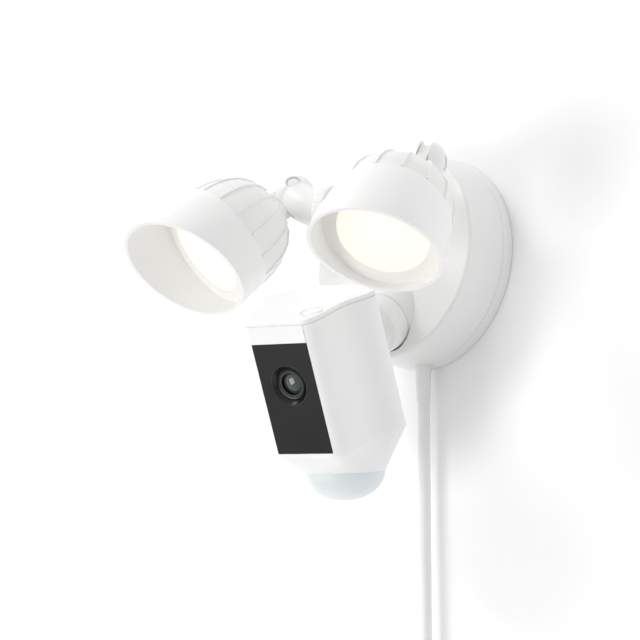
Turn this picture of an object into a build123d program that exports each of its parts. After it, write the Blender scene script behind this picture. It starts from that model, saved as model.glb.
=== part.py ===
from build123d import *
import math
import os

# Floodlight security camera for a wall: a round base, two LED lamps on short jointed arms,
# a camera on a ball-ended neck, and a power cord with its put-away coil.
# Millimetres. +Z up, the front faces -Y, and the wall is the plane Y = 0.
# The origin is the centre of the base's back face.

# ---------------------------------------------------------------- driving dimensions
# Base
BASE_R = 62.0  # drum radius
BASE_DEPTH = 34.2  # wall to the drum's front edge
DOME_RISE = 4.3  # crown of the front face
SHELL_T = 2.4  # moulded wall thickness
SEAM_Y = 7.0  # depth of the back plate's rim, where the shell begins
HOLE_PCD = 89.0  # wall-box screw circle
HOLE_R = 2.4

# Arms
HUB_AT = (0.0, 24.0)  # centre of the arm hub on the front face, X and Z
HUB_R = 23.0
HUB_FRONT = 57.0  # hub's front face, from the wall
ARM_ROOT = Vector(15.0, -46.0, 25.0)  # right socket; the left one is mirrored
ARM_AXIS = Vector(0.91, -0.345, 0.23).normalized()
ARM_R = 10.4
ARM_BORE_R = 3.5
RUN_FIT = 0.05  # radial clearance of a running fit

# Lamps
LAMP_R = 36.5  # radius of the visor at the mouth's centre
LAMP_REAR_R = 33.6  # radius of the shell's rear edge
LAMP_REAR_Z = -33.0
LAMP_T = 2.2
MOUTH_TILT = 20.5  # slant of the mouth, degrees
LENS_Z = -17.0  # face of the diffuser, behind the mouth's centre
LENS_R = 25.9
SINK_RIBS = 14
PIN_Z = -86.0  # tilt pin, behind the mouth's centre
PIN_SIDE = 5.0  # and its offset from the lamp's axis, mirrored on the left
PIN_R = 2.5
KNUCKLE_R = 11.8  # rounded end of the arm
SLOT_T = 6.8  # slot in the knuckle
SLOT_R = 21.0
TONGUE_T = 6.0
TONGUE_R = 9.0
RIB_T = 1.3
CAP_FROM = 8.4  # pin caps, from the middle of the knuckle
CAP_TO = 10.6

# Rest poses of the two lamps: centre of the mouth, direction of the light, the mouth's long side
LAMP_POSE = {
    "right": ((77.9, -126.6, -33.9), (0.207, -0.601, -0.772), (0.52, -0.60, 0.605)),
    "left": ((-85.6, -116.9, -8.1), (-0.341, -0.687, -0.641), (-0.745, -0.20, 0.63)),
}

# Camera neck
NECK_RING = Vector(0.0, -40.0, -40.6)  # centre of the collar's mouth
NECK_PITCH = 33.0  # degrees below level
NECK_R = 14.2
NECK_LENGTH = 30.0  # collar's mouth to the ball's centre
BALL_R = 12.5
SEAT_R = 15.5

# Camera housing, in its own frame: origin at the ball, X across, Y to the rear, Z up
HEAD_YAW = 7.3
HEAD_PITCH = 32.0
HEAD_ROLL = 7.5
FRONT_Y = -67.4
BACK_Y = -6.4
PLAN_SIDE = [  # right side of the plan, from the front to the back
    (9, -67.4), (16, -67.3), (20.4, -66.2), (23.4, -62.6), (25.0, -56.5), (26.0, -48.5), (27.2, -40.5),
    (29.8, -33.8), (33.2, -29.2), (36.0, -25.2), (36.6, -21.2), (34.2, -17.2), (27.4, -12.6), (18.4, -9.0), (9, -7.0),
]
TOP_Z = 35.7
SKIRT_Z = -43.0  # where the walls begin to run in to the dome
RIM_CENTRE = (0.0, -36.0, -64.0)
RIM_R = 22.5
RIM_TILT = math.radians(19.0)
DOME_DEPTH = 16.0
CAP_T = 2.6
HOUSING_T = 2.2
PANEL_W = 36.5
PANEL_BOTTOM = -40.6
PANEL_TOP = 23.0
PANEL_T = 2.2
EYE_Z = -1.0  # height of the camera's lens
BUTTON_AT = (16.0, -52.4)
BUTTON_R = 5.5

# Power cord
CORD_R = 3.5
CORD_Y = -8.7
GLAND_TIP_Z = -82.0
COIL_CENTRE = (-36.0, -14.2, -306.0)
COIL_R = 37.0  # mid radius of the turns
COIL_HALF = 10.8  # half of the bundle's square section
PLUG_AT = (-54.0, -35.6, -332.0)

BASE_FRAME = Plane(origin=(0, 0, 0), x_dir=(1, 0, 0), z_dir=(0, -1, 0)).location


# ---------------------------------------------------------------- helpers
def turned(*points):
    """A solid of revolution about local Z from (radius, height) corners."""
    return revolve(Plane.XZ * make_face(Polyline(*points, close=True)), Axis.Z)


def rod(radius, z0, z1):
    """A cylinder about local Z between two heights."""
    return Pos(0, 0, z0) * Cylinder(radius, z1 - z0, align=(Align.CENTER, Align.CENTER, Align.MIN))


def block(x0, x1, y0, y1, z0, z1):
    """A box between two corners."""
    size = (x1 - x0, y1 - y0, z1 - z0)
    return Pos((x0 + x1) / 2, (y0 + y1) / 2, (z0 + z1) / 2) * Box(*size)


def crown(radius, edge, rise):
    """The arc of a spherical cap, from its rim to the axis."""
    ball = (radius**2 + rise**2) / (2 * rise)
    middle = math.asin(radius / ball) / 2
    top = edge + rise
    return ThreePointArc((radius, edge), (ball * math.sin(middle), top - ball * (1 - math.cos(middle))), (0, top))


def along(origin, axis):
    """The place whose local Z runs along axis."""
    return Plane(origin=origin, z_dir=axis).location


def group(shapes):
    """Several separate solids as one node."""
    return Compound(children=[part for shape in shapes for part in shape.solids()])


def save(name, shape):
    """Write one node."""
    export_step(shape, f"parts/{name}.step")


def mirrored(vector, side):
    """A right-hand vector, mirrored for the left side."""
    return Vector(vector.X * side, vector.Y, vector.Z)


# ---------------------------------------------------------------- base
SCREW_ANGLES = (100.0, 170.0, 240.0)
SCREW_Z = 14.0
GLAND_R = 4.9
GLAND_FLANGE_R = 5.8
WIRE_R = 7.0
SLEEVE_R = 17.4


def drum(inset):
    """The drum with its crowned front, inset all round, in the base's frame."""
    radius = BASE_R - inset
    edge = BASE_DEPTH - inset
    outline = [
        Line((0, SEAM_Y + 0.2), (radius, SEAM_Y + 0.2)),
        Line((radius, SEAM_Y + 0.2), (radius - 0.8, edge - 1.8)),
        ThreePointArc((radius - 0.8, edge - 1.8), (radius - 1.35, edge - 0.6), (radius - 2.6, edge)),
        crown(radius - 2.6, edge, DOME_RISE),
        Line((0, edge + DOME_RISE), (0, SEAM_Y + 0.2)),
    ]
    return revolve(Plane.XZ * make_face(outline), Axis.Z)


def cord_way(radius, y0, y1):
    """A round way for the cord's gland through the lower rim, in the base's frame."""
    return Pos(0, 0, -CORD_Y) * Rot(90, 0, 0) * rod(radius, -y1, -y0)


def gland_hole():
    """The gland's stepped seat in the rim."""
    return cord_way(GLAND_R, -70, -50) + cord_way(GLAND_FLANGE_R, -57.2, -55.0)


def wall_gasket():
    """Foam ring that seals the base to the wall."""
    return BASE_FRAME * (turned((54, 0), (60, 0), (60, 2), (54, 2)) - gland_hole())


def back_plate():
    """Moulded plate with its rim, screw lugs, wall-box holes and cable way."""
    plate = turned((13, 2), (60.2, 2), (60.2, 0), (BASE_R, 0), (BASE_R, SEAM_Y), (59.0, SEAM_Y), (59.0, 4.6), (13, 4.6))
    for angle in SCREW_ANGLES:
        plate += Rot(0, 0, angle) * block(51, 58.6, -4.5, 4.5, 4.6, 19)
    for angle in (0, 90, 180, 270):
        plate -= Rot(0, 0, angle) * Pos(HOLE_PCD / 2, 0, 0) * rod(HOLE_R, 0, 6)
    for angle in SCREW_ANGLES:
        plate -= Rot(0, 0, angle) * Pos(0, 0, SCREW_Z) * Rot(0, 90, 0) * rod(1.5, 50, 60)
    for x in (-30, 30):
        plate -= Pos(x, 0, 0) * rod(1.5, 0, 6)
        for y in (16, 40):
            plate += Pos(x, y, 0) * rod(2.5, 4.6, 9)
    return BASE_FRAME * (plate - gland_hole())


def mounting_bracket():
    """Steel strap across the back plate."""
    strap = block(-49.5, 49.5, -10, 10, 4.6, 6.2) - rod(9, 4, 8)
    for x in (-HOLE_PCD / 2, HOLE_PCD / 2):
        strap -= Pos(x, 0, 0) * rod(HOLE_R, 4, 8)
    for x in (-30, 30):
        strap -= Pos(x, 0, 0) * rod(1.5, 4, 8)
    return BASE_FRAME * strap


def bracket_screws():
    """Two pan-head screws that hold the strap."""
    screw = turned((0, 2.2), (1.45, 2.2), (1.45, 6.2), (3, 6.2), (2.7, 7.8), (1.2, 8.2), (0, 8.2))
    return BASE_FRAME * group([Pos(x, 0, 0) * screw for x in (-30, 30)])


def neck_axis():
    """Unit vector out of the camera's collar."""
    pitch = math.radians(NECK_PITCH)
    return Vector(0, -math.cos(pitch), -math.sin(pitch))


def base_shell():
    """The drum's shell, with its openings."""
    shell = drum(0) - drum(SHELL_T)
    shell -= Pos(0, 0, 0) * rod(BASE_R - SHELL_T - 0.2, 0, SEAM_Y + 1)
    for angle in SCREW_ANGLES:
        place = Rot(0, 0, angle) * Pos(0, 0, SCREW_Z) * Rot(0, 90, 0)
        shell -= place * rod(1.5, 50, 66)
        shell -= place * rod(2.8, BASE_R - 1.7, 66)
    shell -= Pos(*HUB_AT, 0) * rod(WIRE_R, 20, 60)
    shell = BASE_FRAME * (shell - gland_hole())
    for side in (1, -1):
        shell -= socket_place(side) * rod(SOCKET_R, SOCKET_DEPTH, 40)
    return shell - along(NECK_RING, neck_axis()) * rod(SLEEVE_R, -30, 10)


def cover_screws():
    """Three radial screws that hold the shell to the back plate's lugs."""
    screw = turned((0, 51.5), (1.45, 51.5), (1.45, BASE_R - 1.7), (2.6, BASE_R - 1.7), (2.6, BASE_R - 0.5), (0, BASE_R - 0.5))
    return BASE_FRAME * group([Rot(0, 0, a) * Pos(0, 0, SCREW_Z) * Rot(0, 90, 0) * screw for a in SCREW_ANGLES])


def neck_collar():
    """Fixed collar that carries the neck: a flare on the front face and a sleeve through it."""
    place = along(NECK_RING, neck_axis())
    flare = place * turned((SLEEVE_R - 1, -16), (24, -16), (20.5, -7), (17.6, -1.5), (16.6, 0), (SLEEVE_R - 1, 0))
    sleeve = turned((0, -19.3), (SLEEVE_R, -19.3), (SLEEVE_R, -1.4), (16.6, 0), (0, 0))
    collar = flare - BASE_FRAME * drum(0) + place * sleeve
    return collar - place * rod(NECK_R + RUN_FIT, -30, 10)


# ---------------------------------------------------------------- arm hub and arms
SOCKET_DEPTH = -9.0
SOCKET_R = 12.6
RING_FROM = 17.0
RING_TO = 23.0


def socket_place(side):
    """Frame of one arm socket, with local Z outward along the swivel axis."""
    return along(mirrored(ARM_ROOT, side), mirrored(ARM_AXIS, side))


def arm_hub():
    """Turret on the front face with two cross bores and a wire way."""
    outline = [
        Line((0, 30), (HUB_R, 30)),
        Line((HUB_R, 30), (HUB_R - 0.6, HUB_FRONT - 6)),
        ThreePointArc((HUB_R - 0.6, HUB_FRONT - 6), (HUB_R - 2.6, HUB_FRONT - 1.8), (HUB_R - 7, HUB_FRONT)),
        crown(HUB_R - 7, HUB_FRONT, 1.4),
        Line((0, HUB_FRONT + 1.4), (0, 30)),
    ]
    turret = revolve(Plane.XZ * make_face(outline), Axis.Z) - rod(WIRE_R, 30, 44)
    hub = BASE_FRAME * (Pos(*HUB_AT, 0) * turret - drum(0))
    for side in (1, -1):
        hub -= socket_place(side) * rod(SOCKET_R, SOCKET_DEPTH, 40)
    return hub


def arm_socket(side):
    """Bush pressed into the hub, in which the arm swivels."""
    bore = ARM_R + RUN_FIT
    bush = turned((bore, -5.4), (SOCKET_R, -5.4), (SOCKET_R, RING_TO - 0.4), (bore, RING_TO - 0.4))
    return socket_place(side) * bush


def arm_lock_ring(side):
    """Ribbed ring nut that clamps the bush on the arm."""
    ring = turned((SOCKET_R, RING_FROM), (14.6, RING_FROM), (14.9, RING_FROM + 1), (14.9, RING_TO - 1.4), (14.2, RING_TO), (SOCKET_R, RING_TO))
    for index in range(18):
        ring -= Rot(0, 0, 20 * index) * Pos(15.6, 0, 0) * rod(1.1, RING_FROM - 1, RING_TO + 1)
    return socket_place(side) * ring


def lamp_place(name):
    """Frame of one lamp: local Z is the light's direction, local X the mouth's long side."""
    centre, forward, long_side = LAMP_POSE[name]
    z_dir = Vector(*forward).normalized()
    x_dir = Vector(*long_side)
    x_dir = (x_dir - z_dir * x_dir.dot(z_dir)).normalized()
    return Plane(origin=centre, x_dir=x_dir, z_dir=z_dir)


def pin_point(name):
    """Centre of the tilt pin, in the object's frame."""
    side = 1 if name == "left" else -1
    return lamp_place(name).from_local_coords(Vector(0, side * PIN_SIDE, PIN_Z))


def pin_axis(name):
    """Direction of the tilt pin."""
    return -lamp_place(name).y_dir


def arm(name, side):
    """Tube from the socket to the lamp, with a flange inside and a slotted knuckle outside."""
    root = mirrored(ARM_ROOT, side)
    axis = mirrored(ARM_AXIS, side)
    pin = pin_point(name)
    corners = (root + axis * 8, root + axis * 34, pin)
    path = FilletPolyline(*corners, radius=corner_radii(corners))
    tube = sweep(Plane(origin=path @ 0, z_dir=path % 0) * Circle(ARM_R), path=path)
    bore = sweep(Plane(origin=path @ 0, z_dir=path % 0) * Circle(ARM_BORE_R), path=path)
    solid = tube + socket_place(side) * (rod(ARM_R, -5.5, 9) + rod(11.8, -8, -5.5))
    solid += Pos(*pin) * Sphere(KNUCKLE_R)
    solid -= bore + socket_place(side) * rod(ARM_BORE_R, -9, 9)
    knuckle = along(pin, pin_axis(name))
    solid -= knuckle * rod(SLOT_R, -SLOT_T / 2, SLOT_T / 2)
    solid -= knuckle * rod(4.4, CAP_FROM, 20)
    solid -= knuckle * rod(4.4, -20, -CAP_FROM)
    return solid - knuckle * rod(PIN_R, -20, 20)


# ---------------------------------------------------------------- lamps, in the lamp's frame
def lamp_radius(z, inset=0.0):
    """Outer radius of the lamp's shell at height z."""
    return LAMP_REAR_R + (LAMP_R - LAMP_REAR_R) * (z - LAMP_REAR_Z) / -LAMP_REAR_Z - inset


def lamp_shell():
    """Cup with a slanted mouth and a slightly bellied wall."""
    high = 15.0
    rear = lamp_radius(LAMP_REAR_Z)
    front = lamp_radius(high) - 0.9
    middle = lamp_radius(-9) + 0.7
    outline = [
        Line((rear - LAMP_T, LAMP_REAR_Z), (rear, LAMP_REAR_Z)),
        ThreePointArc((rear, LAMP_REAR_Z), (middle, -9), (front, high)),
        Line((front, high), (front - LAMP_T, high)),
        ThreePointArc((front - LAMP_T, high), (middle - LAMP_T, -9), (rear - LAMP_T, LAMP_REAR_Z)),
    ]
    cup = revolve(Plane.XZ * make_face(outline), Axis.Z)
    return cup - Rot(0, -MOUTH_TILT, 0) * block(-60, 60, -60, 60, 0, 60)


def bezel_ring():
    """Flat white ring between the diffuser and the shell."""
    outer = LAMP_R - 1
    ring = [(LENS_R, LENS_Z - 2.4), (outer, LENS_Z - 2.4), (outer, LENS_Z - 0.2), (LENS_R + 0.8, LENS_Z + 0.3), (LENS_R, LENS_Z + 0.3)]
    return turned(*ring) - lamp_shell()


def diffuser():
    """Milky lens over the light source, slightly crowned."""
    outline = [
        Line((0, LENS_Z - 2.4), (LENS_R, LENS_Z - 2.4)),
        Line((LENS_R, LENS_Z - 2.4), (LENS_R, LENS_Z - 0.2)),
        crown(LENS_R, LENS_Z - 0.2, 1.2),
        Line((0, LENS_Z + 1.0), (0, LENS_Z - 2.4)),
    ]
    return revolve(Plane.XZ * make_face(outline), Axis.Z)


def led_board():
    """Aluminium board that carries the light source."""
    return rod(24.5, -26.0, -24.4) - Pos(19, 0, 0) * rod(1.6, -27, -24) - Pos(-19, 0, 0) * rod(1.6, -27, -24)


def led_chips():
    """Twelve LED packages in two rings."""
    chip = block(-1.75, 1.75, -1.75, 1.75, -24.4, -23.6)
    outer = [Rot(0, 0, 45 * i + 22.5) * Pos(15, 0, 0) * chip for i in range(8)]
    inner = [Rot(0, 0, 90 * i) * Pos(7, 0, 0) * chip for i in range(4)]
    return group(outer + inner)


def lamp_seal():
    """Rubber ring between the heat sink's flange and the shell."""
    outer = lamp_radius(-31) - LAMP_T
    return turned((29.9, -31.6), (outer - 0.25, -31.6), (outer - 0.1, -29.4), (29.9, -29.4))


def heat_sink(shift):
    """Ribbed dome with the spigot that fills the shell's rear, and the tongue for the tilt pin."""
    dome = [(0, -26), (29.9, -26), (29.9, -33.0), (33.0, -33.0), (32.7, -36), (31.6, -43), (29.4, -50)]
    dome += [(25.8, -56.5), (20.6, -62), (14, -65.8), (6, -67.4), (0, -67.6)]
    rib = [(15, -33.6), (33.8, -33.6), (33.5, -36.5), (32.5, -43.4), (30.3, -50.6), (26.6, -57.2), (21.2, -62.9), (14.4, -66.8)]
    blade = extrude(Plane.XZ * make_face(Polyline(*rib, close=True)), RIB_T / 2, both=True)
    sink = turned(*dome)
    for index in range(SINK_RIBS):
        sink += Rot(0, 0, 360 / SINK_RIBS * (index + 0.5)) * blade
    outline = Pos(0, PIN_Z) * Circle(TONGUE_R) + Pos(0, (PIN_Z - 60) / 2) * Rectangle(2 * TONGUE_R, -60 - PIN_Z)
    sink += Pos(0, shift + TONGUE_T / 2, 0) * extrude(Plane.XZ * outline, TONGUE_T)
    return sink - Pos(0, shift, PIN_Z) * Rot(90, 0, 0) * rod(PIN_R + RUN_FIT, -20, 20)


def pivot_screw(shift):
    """Pin on the tilt axis, with a domed cap at each end."""
    cap = [(0, CAP_TO), (3.2, CAP_TO - 0.4), (4.4, CAP_FROM + 0.8), (4.4, CAP_FROM), (PIN_R, CAP_FROM)]
    screw = turned(*cap, *[(r, -z) for r, z in reversed(cap)])
    return Pos(0, shift, PIN_Z) * Rot(90, 0, 0) * screw


# ---------------------------------------------------------------- camera neck
def camera_neck():
    """Tube with a flange inside the base and a ball at its outer end."""
    end = NECK_LENGTH
    profile = [(0, -22.4), (SLEEVE_R, -22.4), (SLEEVE_R, -19.4), (NECK_R, -19.4), (NECK_R, 0.4), (16.6, 0.4)]
    profile += [(16.4, 9), (15.4, 11), (13.0, 12), (7.4, end - 12), (7.4, end), (0, end)]
    neck = turned(*profile) + Pos(0, 0, end) * Sphere(BALL_R)
    neck -= rod(4, -23, end - 3)
    return along(NECK_RING, neck_axis()) * neck


def ball_point():
    """Centre of the neck's ball."""
    return NECK_RING + neck_axis() * NECK_LENGTH


# ---------------------------------------------------------------- camera head, in its own frame
def head_plane():
    """Rest frame of the camera's housing."""
    yaw, pitch, roll = (math.radians(a) for a in (HEAD_YAW, HEAD_PITCH, HEAD_ROLL))
    front = Vector(math.cos(pitch) * math.sin(yaw), -math.cos(pitch) * math.cos(yaw), -math.sin(pitch))
    level = Vector(math.cos(yaw), math.sin(yaw), 0)
    up = level.cross(-front)
    across = level * math.cos(roll) - up * math.sin(roll)
    return Plane(origin=ball_point(), x_dir=across, z_dir=across.cross(-front))


def plan_points(inset):
    """Outline of the housing in plan, moved inwards: flat front, waisted sides and a bowed back."""
    right = PLAN_SIDE
    loop = [(0, FRONT_Y)] + right + [(0, BACK_Y)] + [(-x, y) for x, y in reversed(right)]
    moved = []
    for index, (x, y) in enumerate(loop):
        before = loop[index - 1]
        after = loop[(index + 1) % len(loop)]
        run = Vector(after[0] - before[0], after[1] - before[1]).normalized()
        moved.append((x - run.Y * inset, y + run.X * inset))
    return moved


def head_plan(inset):
    """Plan of the housing as a face."""
    return make_face(Spline(*plan_points(inset), periodic=True))


def rim_place():
    """Frame of the motion sensor's dome, with local Z up into the housing."""
    return Plane(origin=RIM_CENTRE, x_dir=(1, 0, 0), z_dir=(0, math.sin(RIM_TILT), math.cos(RIM_TILT)))


def head_body(inset, top):
    """Solid of the housing, inset all round, up to a given height, with its skirt down to the dome."""
    points = plan_points(inset)
    body = extrude(Pos(0, 0, SKIRT_Z) * head_plan(inset), top - SKIRT_Z)
    rim = []
    for x, y in points:
        angle = math.atan2(y - RIM_CENTRE[1], x)
        local = Vector((RIM_R - inset) * math.cos(angle), (RIM_R - inset) * math.sin(angle), inset)
        rim.append(rim_place().from_local_coords(local))
    low = make_face(Spline(*rim, periodic=True))
    high = Pos(0, 0, SKIRT_Z) * head_plan(inset)
    return body + loft([low, high], ruled=True)


def camera_housing():
    """Main shell of the camera, open in front for the window and above for the cap."""
    shell = head_body(0, TOP_Z - CAP_T) - head_body(HOUSING_T, TOP_Z + 5)
    shell -= block(-PANEL_W / 2, PANEL_W / 2, FRONT_Y - 1, FRONT_Y + 4, PANEL_BOTTOM, TOP_Z)
    shell -= Rot(-90, 0, 0) * rod(19.0, -30, 10)
    return shell - rim_place().location * rod(RIM_R - 4.4, -3, 8)


def top_cap():
    """Lid with the recess for the setup button."""
    lid = extrude(Pos(0, 0, TOP_Z - CAP_T + 0.15) * head_plan(0.25), CAP_T - 0.15)
    lid = chamfer(lid.faces().sort_by(Axis.Z)[-1].edges(), 0.5)
    tongue = extrude(Pos(0, 0, TOP_Z - CAP_T - 2.4) * head_plan(HOUSING_T + 0.15), 2.6)
    tongue -= extrude(Pos(0, 0, TOP_Z - CAP_T - 3) * head_plan(HOUSING_T + 1.8), 3)
    tongue -= block(-PANEL_W / 2 - 1, PANEL_W / 2 + 1, FRONT_Y - 1, FRONT_Y + 6, 0, TOP_Z - CAP_T + 0.15)
    lid += tongue
    lid -= Pos(*BUTTON_AT, 0) * rod(BUTTON_R + 1.6, TOP_Z - 0.5, TOP_Z + 1)
    return lid - Pos(*BUTTON_AT, 0) * rod(BUTTON_R + 0.3, 0, TOP_Z + 1)


def front_plate():
    """White plate above the window."""
    return block(-PANEL_W / 2 + 0.15, PANEL_W / 2 - 0.15, FRONT_Y + 0.1, FRONT_Y + PANEL_T, PANEL_TOP + 0.15, TOP_Z - CAP_T)


def window_panel():
    """Dark window over the lens and the infrared lights."""
    plate = block(-PANEL_W / 2 + 0.1, PANEL_W / 2 - 0.1, FRONT_Y + 0.2, FRONT_Y + PANEL_T, PANEL_BOTTOM + 0.1, PANEL_TOP)
    return plate - Pos(0, FRONT_Y, EYE_Z) * Rot(-90, 0, 0) * rod(11.6, -5, 10)


def lens_turned(*points):
    """A part turned about the optical axis; height runs rearward from the front face."""
    return Pos(0, FRONT_Y, EYE_Z) * Rot(-90, 0, 0) * turned(*points)


def lens_ring():
    """Funnel-shaped bezel around the lens."""
    return lens_turned((11.6, 0.3), (11.6, 6), (7.6, 6), (7.6, 2.4), (8.4, 2.2), (9.2, 3.0), (10.8, 0.9), (11.2, 0.3))


def lens_barrel():
    """Lens barrel behind the bezel."""
    return lens_turned((7.5, 2.6), (7.5, 16), (8.5, 16), (8.5, 19), (4, 19), (4, 9), (5.3, 6.8), (6.3, 4.8), (6.3, 2.6))


def lens_glass():
    """Front element, a bulging lens."""
    outline = [
        Line((0, -6.6), (5.2, -6.6)),
        Line((5.2, -6.6), (6.2, -4.6)),
        crown(6.2, -4.6, 2.3),
        Line((0, -2.3), (0, -6.6)),
    ]
    return Pos(0, FRONT_Y, EYE_Z) * Rot(90, 0, 0) * revolve(Plane.XZ * make_face(outline), Axis.Z)


def camera_board():
    """Main circuit board."""
    return block(-20, 20, FRONT_Y + 20.6, FRONT_Y + 22.2, -38, 26)


def board_chips():
    """Image sensor on the front of the board; processor, memory and radio on its rear."""
    front = FRONT_Y + 20.6
    rear = FRONT_Y + 22.2
    sensor = block(-5, 5, front - 1.6, front, EYE_Z - 4.5, EYE_Z + 4.5)
    processor = block(-8, 6, rear, rear + 1.4, -14, 0)
    memory = block(9, 18, rear, rear + 1.2, -12, -1)
    radio = block(-17, -10, rear, rear + 2, 4, 18)
    return group([sensor, processor, memory, radio])


def infrared_leds():
    """Four infrared LEDs behind the window."""
    led = turned((0, 3.0), (1.6, 3.4), (2.5, 5.0), (2.5, 9), (3, 9), (3, 10), (0, 10))
    spots = [(-13, -28), (13, -28), (-5, -31), (5, -31)]
    return group([Pos(x, FRONT_Y, z) * Rot(-90, 0, 0) * led for x, z in spots])


def speaker():
    """Round loudspeaker that faces the right wall."""
    return Pos(14, -32, -30) * Rot(0, 90, 0) * turned((0, 0), (6, 0), (6, 4), (10, 6), (11, 6), (11, 8), (9.5, 8), (3, 6), (0, 6))


def pir_dome():
    """Hollow lens dome of the motion sensor, under the housing's rim."""
    outer = scale(Sphere(1), (RIM_R - 0.3, RIM_R - 0.3, DOME_DEPTH))
    inner = scale(Sphere(1), (RIM_R - 1.9, RIM_R - 1.9, DOME_DEPTH - 1.6))
    return rim_place().location * ((outer - inner) & rod(RIM_R + 5, -40, 0))


def motion_sensors():
    """Board over the dome's opening, with three heat-sensing cans that look down."""
    can = turned((0, -4), (3.6, -4), (4.1, -3.4), (4.1, 2.4), (4.6, 2.4), (4.6, 3.2), (0, 3.2))
    board = rod(RIM_R - 5, 3, 4.6)
    for x, y in ((0, -8.5), (-8, 5), (8, 5)):
        board += Pos(x, y, 0) * can
    return rim_place().location * board


def socket_cup():
    """Inner half of the ball's socket, in the housing's back."""
    cup = Rot(-90, 0, 0) * turned((0, -19), (17, -19), (19, -17), (19, -0.2), (0, -0.2))
    return cup - Sphere(SEAT_R + RUN_FIT)


def socket_ring():
    """Outer half of the socket, a ring nut."""
    ring = Rot(-90, 0, 0) * turned((0, 0), (19, 0), (19, 3.6), (17.8, 5.2), (0, 5.2))
    for index in range(12):
        ring -= Rot(0, 30 * index, 0) * Pos(19.4, 0, 0) * Rot(-90, 0, 0) * rod(1.2, -1, 6)
    return ring - Sphere(SEAT_R + RUN_FIT)


def ball_seat():
    """Nylon shell between the ball and its socket, open to the rear for the neck."""
    seat = Sphere(SEAT_R) - Sphere(BALL_R + RUN_FIT)
    seat -= Rot(-90, 0, 0) * rod(20, 5.0, 20)
    return seat - Rot(-90, 0, 0) * rod(20, -20, -12.0)


def setup_button():
    """Round button in the lid, with its stem."""
    button = turned((0, TOP_Z + 0.3), (BUTTON_R - 0.8, TOP_Z + 0.3), (BUTTON_R, TOP_Z - 0.3), (BUTTON_R, TOP_Z - 2), (2, TOP_Z - 2), (2, TOP_Z - 6), (0, TOP_Z - 6))
    return Pos(*BUTTON_AT, 0) * button


def button_switch():
    """Push switch under the button's stem, on a short bracket."""
    x, y = BUTTON_AT
    body = block(x - 3, x + 3, y - 3, y + 3, TOP_Z - 12, TOP_Z - 8.4) + Pos(x, y, 0) * rod(1.6, TOP_Z - 8.4, TOP_Z - 7.4)
    return body + block(x - 3, x + 3, y + 3, FRONT_Y + 20.6, TOP_Z - 12, TOP_Z - 10.6)


# ---------------------------------------------------------------- power supply, in the base's frame
def power_board():
    """Circuit board of the mains supply."""
    return BASE_FRAME * (block(-34, 34, 12, 45, 9, 10.6) - block(-8, 8, 40, 46, 8, 12))


def transformer():
    """Wound transformer with its core."""
    return BASE_FRAME * (block(-26, -8, 18, 36, 10.6, 24) + block(-29, -5, 22, 32, 13, 21))


def capacitors():
    """Three tall capacitors."""
    can = turned((0, 10.6), (5, 10.6), (5, 22), (4.4, 23), (0, 23))
    return BASE_FRAME * group([Pos(x, y, 0) * can for x, y in ((8, 20), (20, 20), (14, 34))])


def terminal_block():
    """Screw terminals for the cord's cores."""
    strip = block(-12, 12, -26, -17, 4.6, 15)
    for x in (-8, 0, 8):
        strip -= Pos(x, -21.5, 0) * rod(2, 12, 16)
    return BASE_FRAME * strip



# ---------------------------------------------------------------- cord
CORD_ROUTE = [
    (0.0, CORD_Y, GLAND_TIP_Z),
    (0.0, CORD_Y, -236.0),
    (0.6, -10.6, -262.0),
    (1.0, -13.8, -288.0),
    (1.0, COIL_CENTRE[1], -306.0),
]


def corner_radii(points):
    """The largest radius that each corner's two runs leave room for."""
    radii = []
    for before, here, after in zip(points, points[1:], points[2:]):
        run_in = Vector(*here) - Vector(*before)
        run_out = Vector(*after) - Vector(*here)
        turn = math.radians(run_in.get_angle(run_out))
        radii.append(0.45 * min(run_in.length, run_out.length) / math.tan(turn / 2))
    return radii


def cord_tube():
    """The cord from its gland to its coil."""
    radii = corner_radii(CORD_ROUTE)
    path = FilletPolyline(*CORD_ROUTE, radius=radii)
    print("cord radii", [round(r) for r in radii], "length", round(path.length, 1))
    tube = sweep(Plane(origin=path @ 0, z_dir=path % 0) * Circle(CORD_R), path=path)
    print("cord volume over section times length", round(tube.volume / (math.pi * CORD_R**2 * path.length), 4))
    return tube - cord_coil()


def strain_relief():
    """Tapered gland: a flanged plug in the rim and a ribbed sleeve on the cord."""
    sleeve = [(0, -50), (GLAND_R, -50), (GLAND_R, -55.0), (GLAND_FLANGE_R, -55.0), (GLAND_FLANGE_R, -57.2), (GLAND_R, -57.2)]
    sleeve += [(GLAND_R, -63.5), (4.5, -65), (4.0, GLAND_TIP_Z + 0.6), (3.8, GLAND_TIP_Z), (0, GLAND_TIP_Z)]
    return Pos(0, CORD_Y, 0) * turned(*sleeve)


def coil_place():
    """Frame of the coil, with local Z out of the wall."""
    return Plane(origin=COIL_CENTRE, x_dir=(1, 0, 0), z_dir=(0, -1, 0)).location


def cord_coil():
    """Outer shape of the put-away coil."""
    low = COIL_R - COIL_HALF
    high = COIL_R + COIL_HALF
    ring = turned((low, -COIL_HALF + 3), (low + 3, -COIL_HALF), (high - 3, -COIL_HALF), (high, -COIL_HALF + 3), (high, COIL_HALF - 3), (high - 3, COIL_HALF), (low + 3, COIL_HALF), (low, COIL_HALF - 3))
    return coil_place() * ring


def coil_tie():
    """Strap round the bundle, at the top of the coil."""
    reach = COIL_HALF + 1.4
    strap = block(COIL_R - reach, COIL_R + reach, -6, 6, -COIL_HALF - 1.2, COIL_HALF + 1.2)
    return coil_place() * Rot(0, 0, 90) * strap - cord_coil()


def plug_body():
    """Two-pin plug lying across the front of the coil, with its tail to the right."""
    body = block(-14, 14, -10, 10, -12, 12)
    body = fillet(body.edges(), 3.0)
    body += Rot(0, 90, 0) * turned((0, 13), (5.6, 13), (4.0, 32), (0, 32))
    return Pos(*PLUG_AT) * body - plug_blades()


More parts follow.
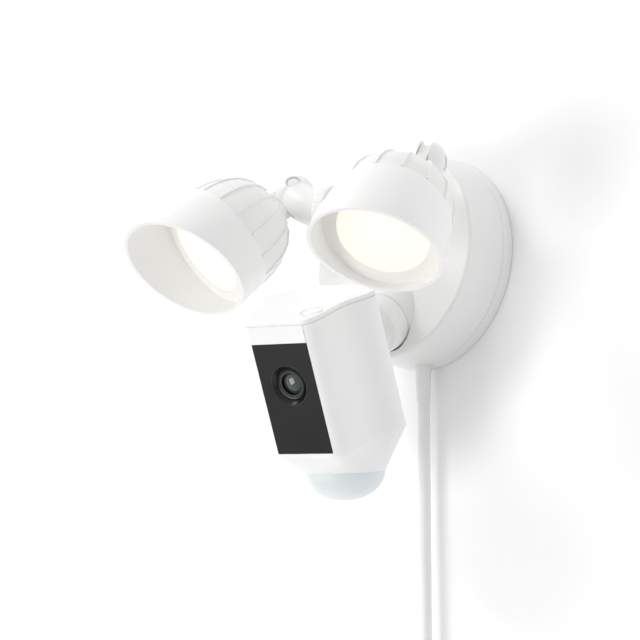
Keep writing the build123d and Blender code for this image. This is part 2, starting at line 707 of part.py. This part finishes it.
def plug_blades():
    """Two flat blades, moulded into the plug."""
    blade = block(-30.5, -8, -3.2, 3.2, -0.75, 0.75)
    return Pos(*PLUG_AT) * group([Pos(0, 0, z) * blade for z in (-6.35, 6.35)])


# ---------------------------------------------------------------- build
def main():
    """Write every node."""
    os.makedirs("parts", exist_ok=True)
    fixed = [
        wall_gasket, back_plate, mounting_bracket, bracket_screws, base_shell, cover_screws, neck_collar,
        arm_hub, power_board, transformer, capacitors, terminal_block, strain_relief, cord_tube,
        cord_coil, coil_tie, plug_body, plug_blades, camera_neck,
    ]
    for make in fixed:
        save(make.__name__, make())
    for name, side in (("left", -1), ("right", 1)):
        save(f"{name}_arm_socket", arm_socket(side))
        save(f"{name}_arm_lock_ring", arm_lock_ring(side))
        save(f"{name}_arm", arm(name, side))
        place = lamp_place(name).location
        for make in (lamp_shell, bezel_ring, diffuser, led_board, led_chips, lamp_seal):
            save(f"{name}_{make.__name__}", place * make())
        for make in (heat_sink, pivot_screw):
            save(f"{name}_{make.__name__}", place * make(-side * PIN_SIDE))
        pin = pin_point(name)
        axis = pin_axis(name)
        print(name, "pin", [round(v, 3) for v in pin], "axis", [round(v, 5) for v in axis])
    head = head_plane().location
    for make in (
        camera_housing, top_cap, front_plate, window_panel, lens_ring, lens_barrel, lens_glass, camera_board,
        board_chips, infrared_leds, speaker, pir_dome, motion_sensors, socket_cup, socket_ring, ball_seat,
        setup_button, button_switch,
    ):
        save(make.__name__, head * make())
    plane = head_plane()
    print("ball", [round(v, 3) for v in plane.origin], "across", [round(v, 5) for v in plane.x_dir], "up", [round(v, 5) for v in plane.z_dir])


main()
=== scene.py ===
import math

import bmesh
import bpy
from mathutils import Matrix, Vector


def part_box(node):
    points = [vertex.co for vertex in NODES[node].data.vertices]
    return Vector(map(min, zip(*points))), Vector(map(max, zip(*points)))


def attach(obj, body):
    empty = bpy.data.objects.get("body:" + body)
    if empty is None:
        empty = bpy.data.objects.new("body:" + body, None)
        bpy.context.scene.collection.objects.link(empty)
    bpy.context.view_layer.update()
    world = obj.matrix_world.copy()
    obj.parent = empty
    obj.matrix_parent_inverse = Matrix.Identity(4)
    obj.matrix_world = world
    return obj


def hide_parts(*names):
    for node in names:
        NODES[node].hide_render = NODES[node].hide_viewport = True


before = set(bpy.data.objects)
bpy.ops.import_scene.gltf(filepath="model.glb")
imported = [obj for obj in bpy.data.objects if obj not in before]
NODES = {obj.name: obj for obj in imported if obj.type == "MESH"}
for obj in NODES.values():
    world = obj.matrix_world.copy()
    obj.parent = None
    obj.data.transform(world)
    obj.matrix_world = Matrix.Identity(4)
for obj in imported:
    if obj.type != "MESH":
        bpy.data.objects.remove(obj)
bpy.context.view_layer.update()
SCENE = bpy.context.scene
SIDES = ("left", "right")


# ---------------------------------------------------------------- camera
def camera():
    """The photograph's viewing angle: from the right and a little below."""
    data = bpy.data.cameras.new("view")
    data.lens = 146.25
    data.sensor_width = 36.0
    data.clip_start = 0.05
    data.clip_end = 20.0
    eye = bpy.data.objects.new("view", data)
    SCENE.collection.objects.link(eye)
    eye.location = (0.9989, -1.0557, -0.4218)
    aim = Vector((-0.0514, -0.0414, -0.0305))
    eye.rotation_euler = (aim - eye.location).to_track_quat("-Z", "Y").to_euler()
    SCENE.camera = eye


camera()
SCENE.view_settings.view_transform = "Standard"


# ---------------------------------------------------------------- small helpers
def mm(*values):
    """Millimetres to a vector in metres."""
    return Vector(values) / 1000


def paint(piece, material):
    """One material on a whole piece."""
    piece.data.materials.clear()
    piece.data.materials.append(material)


# ---------------------------------------------------------------- materials
def shader(name):
    """A new material: its tree, its Principled shader and its object-space coordinates."""
    material = bpy.data.materials.new(name)
    material.use_nodes = True
    tree = material.node_tree
    core = tree.nodes["Principled BSDF"]
    place = tree.nodes.new("ShaderNodeTexCoord")
    return material, tree, core, place.outputs["Object"]


def noise(tree, place, scale, detail=3.0, rough=0.5):
    """A noise texture's value."""
    node = tree.nodes.new("ShaderNodeTexNoise")
    node.inputs["Scale"].default_value = scale
    node.inputs["Detail"].default_value = detail
    node.inputs["Roughness"].default_value = rough
    tree.links.new(place, node.inputs["Vector"])
    return node.outputs["Fac"]


def spread(tree, value, low, high, from_low=0.3, from_high=0.7):
    """A value mapped to a new range."""
    node = tree.nodes.new("ShaderNodeMapRange")
    node.inputs["From Min"].default_value = from_low
    node.inputs["From Max"].default_value = from_high
    node.inputs["To Min"].default_value = low
    node.inputs["To Max"].default_value = high
    tree.links.new(value, node.inputs["Value"])
    return node.outputs["Result"]


def tint(tree, value, first, second):
    """A colour between two, by a value."""
    node = tree.nodes.new("ShaderNodeMix")
    node.data_type = "RGBA"
    node.inputs["A"].default_value = (*first, 1)
    node.inputs["B"].default_value = (*second, 1)
    tree.links.new(value, node.inputs["Factor"])
    return node.outputs["Result"]


def mottle(tree, core, place, scale, first, second):
    """The shader's base colour, wandering softly between two."""
    value = spread(tree, noise(tree, place, scale), 0, 1)
    tree.links.new(tint(tree, value, first, second), core.inputs["Base Color"])


def gloss(tree, core, place, scale, low, high):
    """The shader's roughness, wandering softly between two values."""
    tree.links.new(spread(tree, noise(tree, place, scale), low, high), core.inputs["Roughness"])


def bump(tree, core, value, strength, distance):
    """A bump on the shader's normal."""
    node = tree.nodes.new("ShaderNodeBump")
    node.inputs["Strength"].default_value = strength
    node.inputs["Distance"].default_value = distance
    tree.links.new(value, node.inputs["Height"])
    tree.links.new(node.outputs["Normal"], core.inputs["Normal"])


def moulded(name, color, rough, grain=2600, depth=0.00002, specular=0.4, vary=0.015):
    """Moulded plastic or paint: a faint mottle, an uneven gloss and a fine grain."""
    material, tree, core, place = shader(name)
    mottle(tree, core, place, 45, [max(0.0, c - vary) for c in color], color)
    gloss(tree, core, place, 160, rough - 0.05, rough + 0.05)
    core.inputs["Specular IOR Level"].default_value = specular
    bump(tree, core, noise(tree, place, grain, 2), 0.25, depth)
    return material


def metal(name, color, rough, grain=900):
    """Bare or plated metal with fine uneven polish."""
    material, tree, core, place = shader(name)
    mottle(tree, core, place, 220, [c * 0.86 for c in color], color)
    gloss(tree, core, place, grain, rough - 0.08, rough + 0.08)
    core.inputs["Metallic"].default_value = 1.0
    bump(tree, core, noise(tree, place, grain * 2, 2), 0.2, 0.00002)
    return material


def glowing(name, color, centre, light):
    """Milky lens lit from behind: brightest in the middle."""
    material, tree, core, place = shader(name)
    links = tree.links
    mottle(tree, core, place, 90, [c * 0.98 for c in color], color)
    core.inputs["Roughness"].default_value = 0.35
    away = tree.nodes.new("ShaderNodeVectorMath")
    away.operation = "DISTANCE"
    away.inputs[1].default_value = centre
    links.new(place, away.inputs[0])
    reach = spread(tree, away.outputs["Value"], 0, 1, 0.006, 0.026)
    links.new(tint(tree, reach, light, [c * 0.90 for c in light]), core.inputs["Emission Color"])
    core.inputs["Emission Strength"].default_value = 1.0
    return material


WHITE = moulded("white_shell", (0.93, 0.93, 0.923), 0.42)
HOUSING = moulded("white_housing", (0.95, 0.95, 0.95), 0.38)
SINK = moulded("sink_paint", (0.90, 0.90, 0.89), 0.48, grain=1800, depth=0.00004)
LINING = moulded("lamp_lining", (0.95, 0.93, 0.89), 0.40)
CORD = moulded("cord_vinyl", (0.90, 0.90, 0.895), 0.45, grain=1500, depth=0.00004)
NYLON = moulded("nylon", (0.80, 0.80, 0.78), 0.55)
RUBBER = moulded("rubber", (0.20, 0.20, 0.20), 0.75, grain=1200, depth=0.00006)
FOAM = moulded("foam", (0.10, 0.10, 0.10), 0.9, grain=900, depth=0.0003)
BLACK = moulded("black_trim", (0.010, 0.010, 0.010), 0.28, depth=0.00001, vary=0.003)
WINDOW = moulded(
    "window", (0.011, 0.011, 0.011), 0.34, grain=500, depth=0.000002, specular=0.2, vary=0.003
)
DARK = moulded("dark_plastic", (0.035, 0.035, 0.037), 0.5, vary=0.01)
BOARD = moulded("board", (0.03, 0.14, 0.05), 0.4, vary=0.02)
CHIP = moulded("led_package", (0.85, 0.65, 0.22), 0.4)
STEEL = metal("steel", (0.55, 0.55, 0.56), 0.32)
BRASS = metal("brass", (0.72, 0.55, 0.28), 0.28)
ALUMINIUM = metal("aluminium", (0.80, 0.80, 0.80), 0.35)


def dome_material():
    """Bluish milky lens of the motion sensor."""
    material, tree, core, place = shader("dome_lens")
    mottle(tree, core, place, 60, (0.80, 0.825, 0.84), (0.83, 0.85, 0.865))
    gloss(tree, core, place, 300, 0.30, 0.40)
    core.inputs["Subsurface Weight"].default_value = 0.3
    core.inputs["Subsurface Scale"].default_value = 0.004
    ridges = tree.nodes.new("ShaderNodeTexWave")
    ridges.wave_type = "RINGS"
    ridges.rings_direction = "Z"
    ridges.inputs["Scale"].default_value = 160.0
    tree.links.new(place, ridges.inputs["Vector"])
    bump(tree, core, ridges.outputs["Fac"], 0.08, 0.0001)
    return material


def glass_material():
    """Coated front element of the camera's lens."""
    material, tree, core, place = shader("lens_coating")
    mottle(tree, core, place, 120, (0.035, 0.050, 0.042), (0.050, 0.066, 0.054))
    core.inputs["Roughness"].default_value = 0.06
    core.inputs["Coat Weight"].default_value = 1.0
    core.inputs["Coat Roughness"].default_value = 0.02
    return material


DOME = dome_material()
GLASS = glass_material()


# ---------------------------------------------------------------- the cord
CORD_DIAMETER = 0.007
CORD_EXIT = (0.0, -8.7, -82.0)
HANGING = [CORD_EXIT, (0.0, -8.7, -236.0), (0.6, -10.6, -262.0), (1.0, -13.8, -288.0)]
COIL_CENTRE = (-36.0, -14.2, -306.0)
PITCH = 7.05
# Radius and depth of each turn of the coil, from the middle of the bundle round its square section
TURNS = [(37.0, 0), (37.0, 1), (29.95, 1), (29.95, 0), (29.95, -1), (37.0, -1), (44.05, -1)]
TURN_STEPS = 14
EASE_STEPS = 5  # steps over which one turn moves to the next one's place
LAST_LIFT = 7.0  # how far the last turn comes off the bundle, towards the front
LAST_LIFTS = (8.6, 10.8, 12.8, 14.1)  # and the bend after it
LAST_BEND = 26.0
PLUG_TAIL = (-22.0, -35.6, -332.0)


def cord_points():
    """Control points from the gland, down the wall, round the coil and into the plug."""
    points = list(HANGING)
    cx, cy, cz = COIL_CENTRE
    for turn, (radius, layer) in enumerate(TURNS):
        after = TURNS[turn + 1] if turn + 1 < len(TURNS) else (radius, layer)
        for step in range(TURN_STEPS):
            ease = min(1.0, max(0.0, (step - TURN_STEPS + EASE_STEPS) / EASE_STEPS))
            r = radius + (after[0] - radius) * ease
            y = cy + PITCH * (layer + (after[1] - layer) * ease)
            if turn == len(TURNS) - 1:
                y -= LAST_LIFT * max(0.0, (step - TURN_STEPS + 4) / 4)
            angle = -2 * math.pi * step / TURN_STEPS
            points.append((cx + r * math.cos(angle), y, cz + r * math.sin(angle)))
    centre = cx + TURNS[-1][0] - LAST_BEND
    for step, drop in enumerate(LAST_LIFTS):
        angle = -math.pi / 8 * step
        y = cy - PITCH - drop
        points.append((centre + LAST_BEND * math.cos(angle), y, cz + LAST_BEND * math.sin(angle)))
    points.append((centre - 1.0, PLUG_TAIL[1], PLUG_TAIL[2]))
    points.append(PLUG_TAIL)
    return points


def cord():
    """The supply cord, with its put-away turns and its plug."""
    curve = bpy.data.curves.new("supply_cord", "CURVE")
    curve.dimensions = "3D"
    curve.bevel_depth = CORD_DIAMETER / 2
    curve.bevel_resolution = 8
    curve.resolution_u = 10
    curve.use_fill_caps = True
    points = cord_points()
    spline = curve.splines.new("NURBS")
    spline.points.add(len(points) - 1)
    for point, place in zip(spline.points, points):
        point.co = (*mm(*place), 1)
    spline.order_u = 3
    spline.use_endpoint_u = True
    piece = bpy.data.objects.new("supply_cord", curve)
    SCENE.collection.objects.link(piece)
    piece.data.materials.append(CORD)
    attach(piece, "base")
    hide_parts("cord_tube", "cord_coil")


cord()


# ---------------------------------------------------------------- wall and lights
WALL_HALF = 4.0
WALL_GAP = 0.0006  # behind the gasket


def wall():
    """Pale wall behind the object. Its back is clear, to let the object be seen from behind."""
    upright = Matrix.Rotation(math.radians(90), 3, "X")
    bm = bmesh.new()
    bmesh.ops.create_grid(bm, x_segments=1, y_segments=1, size=WALL_HALF)
    bmesh.ops.rotate(bm, cent=(0, 0, 0), matrix=upright, verts=bm.verts)
    bmesh.ops.translate(bm, vec=(0, WALL_GAP, 0), verts=bm.verts)
    mesh = bpy.data.meshes.new("wall")
    bm.to_mesh(mesh)
    bm.free()
    piece = bpy.data.objects.new("wall", mesh)
    SCENE.collection.objects.link(piece)
    material, tree, core, place = shader("wall_paint")
    links = tree.links
    mottle(tree, core, place, 3, (0.985, 0.985, 0.985), (0.995, 0.995, 0.995))
    core.inputs["Roughness"].default_value = 0.9
    core.inputs["Specular IOR Level"].default_value = 0.1
    side = tree.nodes.new("ShaderNodeNewGeometry")
    clear = tree.nodes.new("ShaderNodeBsdfTransparent")
    choose = tree.nodes.new("ShaderNodeMixShader")
    links.new(side.outputs["Backfacing"], choose.inputs[0])
    links.new(core.outputs[0], choose.inputs[1])
    links.new(clear.outputs[0], choose.inputs[2])
    links.new(choose.outputs[0], tree.nodes["Material Output"].inputs["Surface"])
    paint(piece, material)
    piece.visible_shadow = False


def area_light(name, place, aim, size, power, color=(1, 1, 1)):
    """A soft box."""
    data = bpy.data.lights.new(name, "AREA")
    data.shape = "SQUARE"
    data.size = size
    data.energy = power
    data.color = color
    light = bpy.data.objects.new(name, data)
    SCENE.collection.objects.link(light)
    light.location = place
    light.rotation_euler = (Vector(aim) - Vector(place)).to_track_quat("-Z", "Y").to_euler()


def daylight(low, high):
    """White surroundings, brighter from the upper left in front than from the lower right."""
    world = bpy.data.worlds.new("studio")
    SCENE.world = world
    world.use_nodes = True
    tree = world.node_tree
    place = tree.nodes.new("ShaderNodeTexCoord")
    toward = tree.nodes.new("ShaderNodeVectorMath")
    toward.operation = "DOT_PRODUCT"
    toward.inputs[1].default_value = Vector((-0.55, -0.40, 0.73)).normalized()
    tree.links.new(place.outputs["Generated"], toward.inputs[0])
    level = spread(tree, toward.outputs["Value"], low, high, -0.9, 0.9)
    tree.links.new(level, tree.nodes["Background"].inputs["Strength"])
    tree.nodes["Background"].inputs["Color"].default_value = (1, 1, 1, 1)


wall()
daylight(0.46, 0.82)
area_light("key", (-1.5, -1.9, 2.1), (0, 0, 0), 1.2, 32)
area_light("fill", (-0.8, -2.3, -1.1), (0, 0, -0.05), 1.5, 24)


# ---------------------------------------------------------------- finishes of the CAD pieces
FINISH = {
    "wall_gasket": FOAM, "back_plate": WHITE, "mounting_bracket": STEEL, "bracket_screws": STEEL,
    "base_shell": WHITE, "cover_screws": STEEL, "neck_collar": WHITE, "arm_hub": WHITE,
    "power_board": BOARD, "transformer": DARK, "capacitors": DARK, "terminal_block": DARK,
    "strain_relief": CORD, "coil_tie": DARK, "plug_body": CORD, "plug_blades": BRASS,
    "camera_neck": WHITE, "ball_seat": NYLON, "camera_housing": HOUSING, "top_cap": HOUSING,
    "front_plate": HOUSING, "window_panel": WINDOW, "lens_ring": BLACK, "lens_barrel": BLACK,
    "lens_glass": GLASS, "camera_board": BOARD, "board_chips": DARK, "infrared_leds": GLASS,
    "speaker": DARK, "pir_dome": DOME, "motion_sensors": BOARD, "socket_cup": NYLON,
    "socket_ring": WHITE, "setup_button": HOUSING, "button_switch": DARK,
}
LAMP_FINISH = {
    "arm_socket": NYLON, "arm_lock_ring": WHITE, "arm": WHITE, "lamp_shell": WHITE,
    "bezel_ring": LINING, "led_board": ALUMINIUM, "led_chips": CHIP, "lamp_seal": RUBBER,
    "heat_sink": SINK, "pivot_screw": WHITE,
}


def finish_cad():
    """Every CAD node gets its own material."""
    for node, material in FINISH.items():
        paint(NODES[node], material)
    for side in SIDES:
        for node, material in LAMP_FINISH.items():
            paint(NODES[f"{side}_{node}"], material)
        low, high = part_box(f"{side}_diffuser")
        middle = [(a + b) / 2 for a, b in zip(low, high)]
        lens = glowing(f"{side}_lens_glow", (0.18, 0.177, 0.17), middle, (0.96, 0.91, 0.80))
        paint(NODES[f"{side}_diffuser"], lens)


finish_cad()
